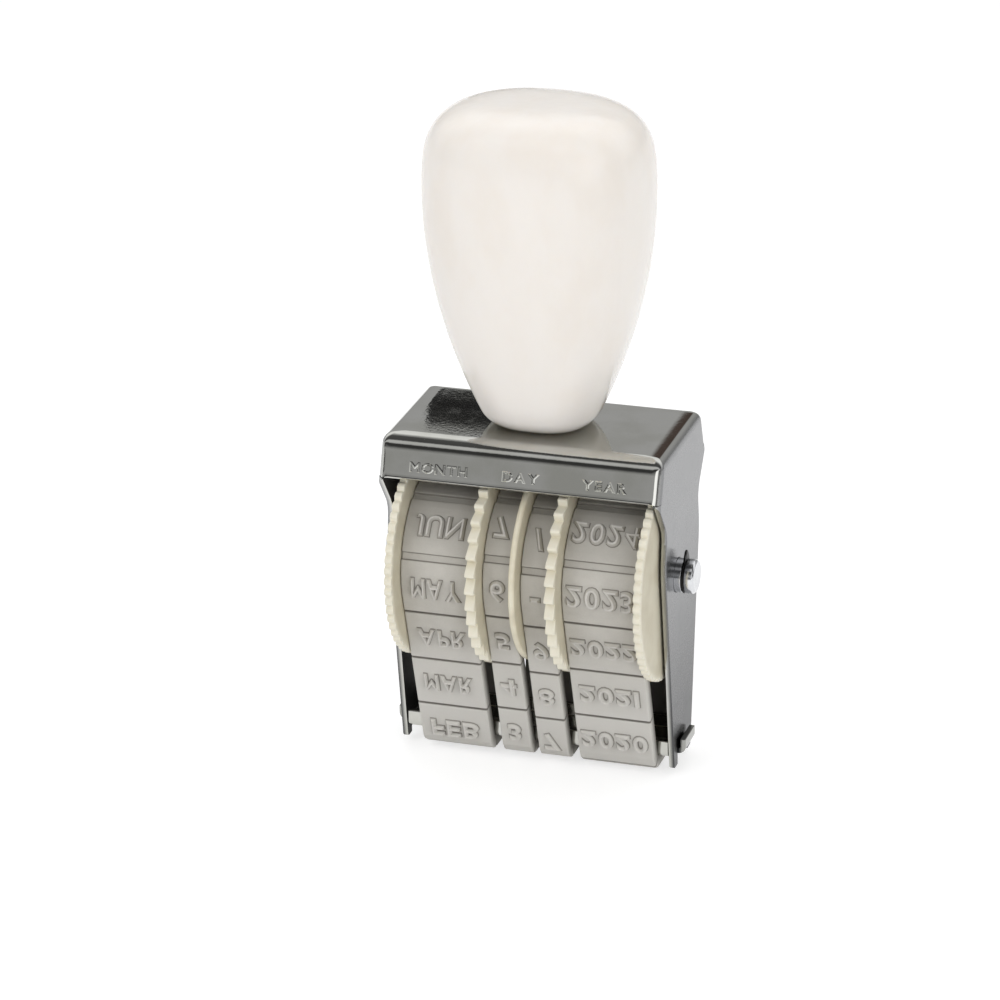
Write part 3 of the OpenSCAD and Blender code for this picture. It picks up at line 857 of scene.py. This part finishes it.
# %% Handle sizes
HANDLE_H = 45.8
HANDLE_HALF = Vector((15.7, 12.8))
FOOT_HALF = Vector((7.2, 6.4))
CROWN_H = 12.0
FOOT_EDGE = 2.3
HOLE_R, HOLE_DEPTH = 1.85, 13.0
SIDE_POWER, TOP_POWER, CROWN_POWER = 2.5, 2.2, 3.6
RING_POINTS, FLANK_RINGS, CROWN_RINGS, FOOT_RINGS = 128, 40, 36, 8
WIDE_Z = HANDLE_H - CROWN_H
HANDLE_CREASE = 50


def squarish(angle, power):
    """A point of the unit superellipse in this direction."""
    c, s = math.cos(angle), math.sin(angle)
    return Vector((c, s)) / (abs(c) ** power + abs(s) ** power) ** (1 / power)


def flank(z):
    """Half width and half depth at height z, below the widest place."""
    return HANDLE_HALF - (HANDLE_HALF - FOOT_HALF) * (1 - z / WIDE_Z) ** 2


print("handle: widest", WIDE_Z, "mm above the frame")


# %% Handle rings
def handle_rings():
    """(half sizes, height, power) of each ring, from the screw hole to the crown."""
    hole = Vector((HOLE_R, HOLE_R))
    yield hole, HOLE_DEPTH, 2
    yield hole, 0, 2
    for i in range(FOOT_RINGS):
        a = math.radians(90 * i / FOOT_RINGS)
        z = FOOT_EDGE * (1 - math.cos(a))
        inset = FOOT_EDGE * (1 - math.sin(a))
        yield flank(z) - Vector((inset, inset)), z, SIDE_POWER
    for i in range(FLANK_RINGS):
        z = FOOT_EDGE + (WIDE_Z - FOOT_EDGE) * i / FLANK_RINGS
        yield flank(z), z, SIDE_POWER
    for i in range(CROWN_RINGS):
        p = squarish(math.radians(90 * i / CROWN_RINGS), CROWN_POWER)
        yield HANDLE_HALF * p.x, WIDE_Z + CROWN_H * p.y, SIDE_POWER + (TOP_POWER - SIDE_POWER) * p.y


def handle_form():
    form = bmesh.new()
    rings = []
    for half, z, power in handle_rings():
        turns = (squarish(2 * math.pi * k / RING_POINTS, power) for k in range(RING_POINTS))
        rings.append([form.verts.new(Vector((p.x * half.x, p.y * half.y, FRAME_TOP + z)) * MM)
                      for p in turns])
    bridge(form, rings)
    form.faces.new(reversed(rings[0]))
    top = form.verts.new(Vector((0, 0, FRAME_TOP + HANDLE_H)) * MM)
    for k in range(RING_POINTS):
        form.faces.new((rings[-1][k], rings[-1][(k + 1) % RING_POINTS], top))
    crease(form, HANDLE_CREASE)
    return form


handle = new_piece("handle_moulding", mesh_of(handle_form(), "handle_moulding"), milky,
                   "frame", "handle_plastic", "handle")
print("handle:", len(handle.data.polygons), "faces")

# %% [markdown]
# ## The path of a band
#
# A band runs round two rounded edges of the printing bar and over the drum of its wheel. In the
# plane of the loop these are three circles, and the band is the belt round them: a straight,
# an arc, a straight, and so on. `belt_at` walks along it and gives a point and the outward
# direction. Blender's curve and array tools can bend a band too, but an own path also tells
# where each letter goes.

# %% Belt path
BAR_Y, BAR_Z, BAR_R, DRUM_R = 3.5, 3.45, 1.05, 9.55
CIRCLES = [(Vector((-BAR_Y, BAR_Z)), BAR_R), (Vector((BAR_Y, BAR_Z)), BAR_R),
           (Vector((AXLE_Y, AXLE_Z)), DRUM_R)]
NEUTRAL = 1.1
ON_DRUM = 0.02


def leaving(i):
    """The direction that the straight after circle i faces."""
    (centre, radius), (other, other_radius) = CIRCLES[i], CIRCLES[(i + 1) % 3]
    way = other - centre
    return math.atan2(way.y, way.x) - math.acos((radius - other_radius) / way.length)


def belt_runs():
    """(length, start, end, direction faced, 0) of each straight, and of each arc (length,
    centre, None, direction faced first, swept angle)."""
    runs = []
    for i in range(3):
        j = (i + 1) % 3
        faces, after = leaving(i), leaving(j)
        out = heading(faces)
        start = CIRCLES[i][0] + (CIRCLES[i][1] + NEUTRAL) * out
        end = CIRCLES[j][0] + (CIRCLES[j][1] + NEUTRAL) * out
        runs.append(((end - start).length, start, end, faces, 0))
        sweep = (after - faces) % (2 * math.pi)
        runs.append(((CIRCLES[j][1] + NEUTRAL) * sweep, CIRCLES[j][0], None, faces, sweep))
    return runs


RUNS = belt_runs()
LOOP = sum(run[0] for run in RUNS)
FIELDS = 12
PITCH = LOOP / FIELDS
print(f"belt: {LOOP:.1f} mm round, a field every {PITCH:.2f} mm")


# %% Walk along the belt
def belt_at(s):
    """Point of the neutral line at distance s, and the outward direction there."""
    s %= LOOP
    for length, start, end, faces, sweep in RUNS:
        if s <= length:
            break
        s -= length
    if sweep == 0:
        return start + (end - start) * (s / length), heading(faces)
    out = heading(faces + sweep * s / length)
    return start + out * (length / sweep), out


def belt_point(x, s, height):
    point, out = belt_at(s)
    point = point + out * (height - NEUTRAL)
    return Vector((x, point.x, point.y)) * MM


def bend(s):
    """1 on the drum, 0 on the straights and round the bar."""
    reach = (belt_at(s)[0] - CIRCLES[2][0]).length - DRUM_R - NEUTRAL
    return 1.0 if abs(reach) < ON_DRUM else 0.0


print("walked:", [round(v, 1) for v in belt_at(LOOP / 2)[0]])

# %% [markdown]
# ## Raised type
#
# The letters stand up from the band with sloping sides, as moulded type does. Blender's own
# font gives the outlines. A text object with no extrusion and some bevel is a lens that is
# widest in its middle: its upper half becomes the sloping ridge, and its lower half is pressed
# flat, to root the letter in the band. Words are set letter by letter, like lead type, because
# this font lets one capital hang below the line.

# %% Letters
CAP_PER_EM = 0.682
CURVE_PARTS = 4
ROOT = 0.12
WORD_STRETCH, ANY_WIDTH = 1.15, 99
SAME_GLYPH_CORNER = 0.0005
TYPE_CREASE = 35


def glyph_mesh(letter, cap_height, slope, thin):
    """The letter as a lens-shaped mesh, in millimetres."""
    curve = bpy.data.curves.new("letter", "FONT")
    curve.body = letter
    curve.size = cap_height / CAP_PER_EM
    curve.offset = -thin
    curve.bevel_depth = slope
    curve.bevel_resolution = 0
    curve.resolution_u = CURVE_PARTS
    holder = bpy.data.objects.new("letter", curve)
    scene.collection.objects.link(holder)
    graph = bpy.context.evaluated_depsgraph_get()
    mesh = bpy.data.meshes.new_from_object(holder.evaluated_get(graph))
    bpy.data.objects.remove(holder)
    bpy.data.curves.remove(curve)
    return mesh


def add_glyph(form, letter, cap_height, slope, thin, left):
    """Adds a letter with its left side at this place, and gives its right side."""
    mesh = glyph_mesh(letter, cap_height, slope, thin)
    form.verts.ensure_lookup_table()
    first = len(form.verts)
    form.from_mesh(mesh)
    bpy.data.meshes.remove(mesh)
    form.verts.ensure_lookup_table()
    corners = form.verts[first:]
    shift = left - min(v.co.x for v in corners)
    foot = min(v.co.y for v in corners)
    drop = slope - thin
    lift = (cap_height + 2 * drop) / (cap_height + drop - foot) if foot < -2 * drop else 1
    for v in corners:
        v.co.x += shift
        v.co.y = (v.co.y - foot) * lift - drop if lift < 1 else v.co.y
    return max(v.co.x for v in corners)


print("capitals:", CAP_PER_EM, "of the font's size")


# %% Words
def word_form(word, cap_height, slope, thin, relief, gap, width):
    """A closed form in millimetres, centred on the origin, with its base on z = 0."""
    form = bmesh.new()
    pen = 0.0
    for letter in word:
        pen = add_glyph(form, letter, cap_height, slope, thin, pen) + gap
    bmesh.ops.remove_doubles(form, verts=form.verts, dist=SAME_GLYPH_CORNER)
    length = pen - gap
    stretch = min(WORD_STRETCH, width / length)
    for v in form.verts:
        v.co.x = (v.co.x - length / 2) * stretch
        v.co.y -= cap_height / 2
        v.co.z *= (relief if v.co.z > 0 else ROOT) / slope
    return form


sample = word_form("H", 3.0, 0.3, 0.08, 0.7, 0, ANY_WIDTH)
print("a capital:", len(sample.verts), "corners")
sample.free()

# %% [markdown]
# ## Legend
#
# The front skirt has small raised words over the bands. They are made as the type is, only
# flatter, and laid on the slope of the skirt.

# %% Legend on the skirt
LEGEND = (("MONTH", -11.3), ("DAY", 0.4), ("YEAR", 12.2))
LEGEND_CAP, LEGEND_SLOPE, LEGEND_THIN, LEGEND_RELIEF, LEGEND_GAP = 1.25, 0.13, 0.03, 0.12, 0.12
LEGEND_DROP = 3.9


def legend_mesh():
    legend = bmesh.new()
    up = Vector((0, math.sin(LEAN), math.cos(LEAN)))
    out = Vector((0, -math.cos(LEAN), math.sin(LEAN)))
    for word, x in LEGEND:
        place = Vector((x, -half_depth(LEGEND_DROP), CAP_TOP - LEGEND_DROP))
        form = word_form(word, LEGEND_CAP, LEGEND_SLOPE, LEGEND_THIN, LEGEND_RELIEF,
                         LEGEND_GAP, ANY_WIDTH)
        for v in form.verts:
            v.co = (place + Vector((v.co.x, 0, 0)) + up * v.co.y + out * v.co.z) * MM
        bmesh.ops.triangulate(form, faces=form.faces)
        lettered = mesh_of(form, "word")
        legend.from_mesh(lettered)
        bpy.data.meshes.remove(lettered)
    crease(legend, TYPE_CREASE)
    return mesh_of(legend, "skirt_legend")


legend = new_piece("skirt_legend", legend_mesh(), plated, "frame", "chrome_sheet")
print("legend:", len(legend.data.polygons), "faces")

# %% [markdown]
# ## Bands
#
# A band is a flat belt with a shallow groove between its twelve fields. On the drum the rubber
# is bent, so there the grooves stand open, and on the straights they nearly close. The belt is
# swept: a section with rounded edges is set at many stations along the path, close together
# at the grooves. Each letter is then laid on the belt by the same path. No band stops exactly
# in the middle of a field, so each has a slip along its path.

# %% Stations along the belt
SKIN = 1.8
GROOVE_DEPTH = 0.35
GROOVE_STRAIGHT, GROOVE_BENT, GROOVE_LIP = 0.17, 0.52, 0.30
OPEN_SHADE = 0.85
STEP = 0.7


def groove_profile(half, floor_shade):
    """(distance from the groove's middle, depth, shade) across one groove."""
    side = [(half + GROOVE_LIP, 0.0, 0.0), (half + 0.10, 0.02, -0.05), (half, 0.10, -0.7),
            (half - 0.05, GROOVE_DEPTH - 0.04, -1.0), (half - 0.14, GROOVE_DEPTH, floor_shade)]
    return [(-d, *rest) for d, *rest in side] + [(d, *rest) for d, *rest in reversed(side)]


def belt_stations(slip):
    """(distance along the belt, depth, shade) from one field's start round to the end."""
    start = RUNS[0][0] / 2 + slip
    stations = []
    for i in range(FIELDS):
        middle = start + (i + 0.5) * PITCH
        open_groove = bend(middle)
        half = GROOVE_STRAIGHT + (GROOVE_BENT - GROOVE_STRAIGHT) * open_groove
        floor_shade = -1 + OPEN_SHADE * open_groove
        stations += [(middle + d, *rest) for d, *rest in groove_profile(half, floor_shade)]
        plain_from = stations[-1][0]
        plain_to = middle + PITCH - GROOVE_BENT - GROOVE_LIP
        count = int((plain_to - plain_from) / STEP)
        stations += [(plain_from + (plain_to - plain_from) * k / count, 0.0, 0.0)
                     for k in range(1, count)]
    return stations


print("belt stations:", len(belt_stations(0)))

# %% Sweep the belt
EDGE, EDGE_CUT, BACK_EDGE = 0.22, 0.3, 0.1
SIDE_SHADE = -0.9
BAND_CREASE = 50


def section(left, right, depth):
    """(x, height) round the belt's section, where its skin is this much lower."""
    top = SKIN - depth
    small = EDGE * EDGE_CUT
    return [(left + BACK_EDGE, 0), (right - BACK_EDGE, 0), (right, BACK_EDGE),
            (right, top - EDGE), (right - small, top - small), (right - EDGE, top),
            (left + EDGE, top), (left + small, top - small), (left, top - EDGE),
            (left, BACK_EDGE)]


def belt_form(left, right, slip):
    form = bmesh.new()
    relief = form.verts.layers.float.new("relief")
    rings = []
    for s, depth, shade in belt_stations(slip):
        ring = []
        for x, height in section(left, right, depth):
            corner = form.verts.new(belt_point(x, s, height))
            corner[relief] = shade if height > SKIN - GROOVE_DEPTH - EDGE else SIDE_SHADE
            ring.append(corner)
        rings.append(ring)
    bridge(form, rings + rings[:1])
    bmesh.ops.recalc_face_normals(form, faces=form.faces)
    crease(form, BAND_CREASE)
    return form


print("belt section:", len(section(0, 1, 0)), "corners")

# %% Lay words on the belt
TYPE_CAP, TYPE_SLOPE, TYPE_THIN = 2.60, 0.32, 0.08
TYPE_TOP = 2.4
TYPE_RELIEF = TYPE_TOP - SKIN
TYPE_GAP = 0.12
TYPE_SUNK = 0.01
TYPE_MARGIN = {"month_band": 2.9, "day_tens_band": 1.4, "day_units_band": 1.4, "year_band": 1.1}
CUT_STEP = 0.5
ROOT_SHADE = -1.2


def bend_word(form, x, s):
    """Cuts a flat word across and lays it on the belt round (x, s)."""
    low = min(v.co.y for v in form.verts)
    high = max(v.co.y for v in form.verts)
    for k in range(1, int((high - low) / CUT_STEP) + 1):
        bmesh.ops.bisect_plane(form, geom=form.verts[:] + form.edges[:] + form.faces[:],
                               plane_co=(0, low + k * CUT_STEP, 0), plane_no=(0, 1, 0))
    bmesh.ops.triangulate(form, faces=form.faces)
    relief = form.verts.layers.float.new("relief")
    for v in form.verts:
        v[relief] = ROOT_SHADE + (1 - ROOT_SHADE) * max(0.0, v.co.z / TYPE_RELIEF)
        v.co = belt_point(x + v.co.x, s + v.co.y, SKIN - TYPE_SUNK + v.co.z)
    bmesh.ops.reverse_faces(form, faces=form.faces)
    crease(form, TYPE_CREASE)


def band_mesh(node, words, slip, name):
    low, high = box_mm(node)
    form = belt_form(low.x, high.x, slip)
    middle = (low.x + high.x) / 2
    for i in range(FIELDS):
        word = words[(FIELDS - i) % FIELDS]
        width = high.x - low.x - TYPE_MARGIN[node]
        letters = word_form(word, TYPE_CAP, TYPE_SLOPE, TYPE_THIN, TYPE_RELIEF, TYPE_GAP, width)
        bend_word(letters, middle, RUNS[0][0] / 2 + slip + i * PITCH)
        lettered = mesh_of(letters, "word")
        form.from_mesh(lettered)
        bpy.data.meshes.remove(lettered)
    mesh = bpy.data.meshes.new(name)
    form.to_mesh(mesh)
    form.free()
    return mesh


print("type stands", round(TYPE_RELIEF, 2), "mm high")

# %% The four bands
BAND_WORDS = {
    "month_band": "JAN FEB MAR APR MAY JUN JUL AUG SEP OCT NOV DEC".split(),
    "day_tens_band": list("23456789-/01"),
    "day_units_band": list("6789-/012345"),
    "year_band": ["2031"] + [str(year) for year in range(2020, 2031)],
}
BAND_SLIP = {"month_band": 0.5, "day_tens_band": -0.3, "day_units_band": 0.75, "year_band": -0.8}
for node, words in BAND_WORDS.items():
    name = node + "_type"
    mesh = band_mesh(node, words, BAND_SLIP[node], name)
    band = new_piece(name, mesh, rubber, "frame", "band_rubber", node)
    print(f"{name}: {len(band.data.polygons)} faces")

# %% [markdown]
# ## Wheels
#
# Four toothed wheels and a plain divider turn on the axle. Their solids have every tooth, so a
# copy with rounded edges is enough to make them read as mouldings.

# %% Wheels
WHEEL_EDGE = 0.14
WHEELS = ("month_wheel", "day_tens_wheel", "day_units_wheel", "year_wheel", "divider_disc")

for node in WHEELS:
    softened_piece(node, node + "_moulding", WHEEL_EDGE, ivory, node, "wheel_plastic")

# %% [markdown]
# ## Axle, clips and printing bar
#
# The axle ends stand out of the side plates, each with a black clip in its groove. A clip is a
# thin spring ring, nearly flush with the axle, open below, with a lug on top to pull it off by.
# It is drawn round in one go, by a radius that swells at the lug. The printing bar is a folded
# channel between the plates, and needs small rounds only.

# %% Axle and printing bar
FINE_EDGE = 0.08

softened_piece("axle", "axle_rod", FINE_EDGE, turned, "frame", "chrome_axle")
softened_piece("platen", "platen_plated", FINE_EDGE, plated, "frame", "chrome_sheet")

# %% Clips
CLIP_INNER, CLIP_OUTER, LUG_RISE, LUG_WIDTH = 2.0, 2.47, 1.35, math.radians(19)
CLIP_FROM, CLIP_TO, CLIP_STEPS = math.radians(-62), math.radians(242), 90
CLIP_THICK, CLIP_ROUND, CLIP_CREASE = 0.26, 0.05, 50


def clip_form(x):
    """A ring about the axle in the plane at x, swept from one end of its gap to the other."""
    form = bmesh.new()
    rings = []
    for i in range(CLIP_STEPS + 1):
        angle = CLIP_FROM + (CLIP_TO - CLIP_FROM) * i / CLIP_STEPS
        lug = math.exp(-((angle - math.pi / 2) / LUG_WIDTH) ** 2)
        outer = CLIP_OUTER + LUG_RISE * lug
        half = CLIP_THICK / 2
        around = [(-half, CLIP_INNER), (half, CLIP_INNER), (half, outer - CLIP_ROUND),
                  (half - CLIP_ROUND, outer), (CLIP_ROUND - half, outer),
                  (-half, outer - CLIP_ROUND)]
        way = heading(angle)
        rings.append([form.verts.new(Vector((x + dx, AXLE_Y + way.x * r, AXLE_Z + way.y * r)) * MM)
                      for dx, r in around])
    bridge(form, rings)
    form.faces.new(rings[0])
    form.faces.new(rings[-1])
    bmesh.ops.recalc_face_normals(form, faces=form.faces)
    crease(form, CLIP_CREASE)
    return form


for node in ("axle_clip_left", "axle_clip_right"):
    low, high = box_mm(node)
    middle = (low.x + high.x) / 2
    name = node + "_ring"
    new_piece(name, mesh_of(clip_form(middle), name), blackened, "frame", "black_steel", node)
    print(name, "at", round(middle, 2), "mm")

# %% [markdown]
# ## Screw and washer
#
# They hold the handle from under the top. Their solids are right as they are, so they stay and
# only get their finish.

# %% Screw and washer
for node in ("handle_screw", "handle_washer"):
    frame["nodes"][node].material_slots[0].material = zinc
    print(node, "is", zinc.name)
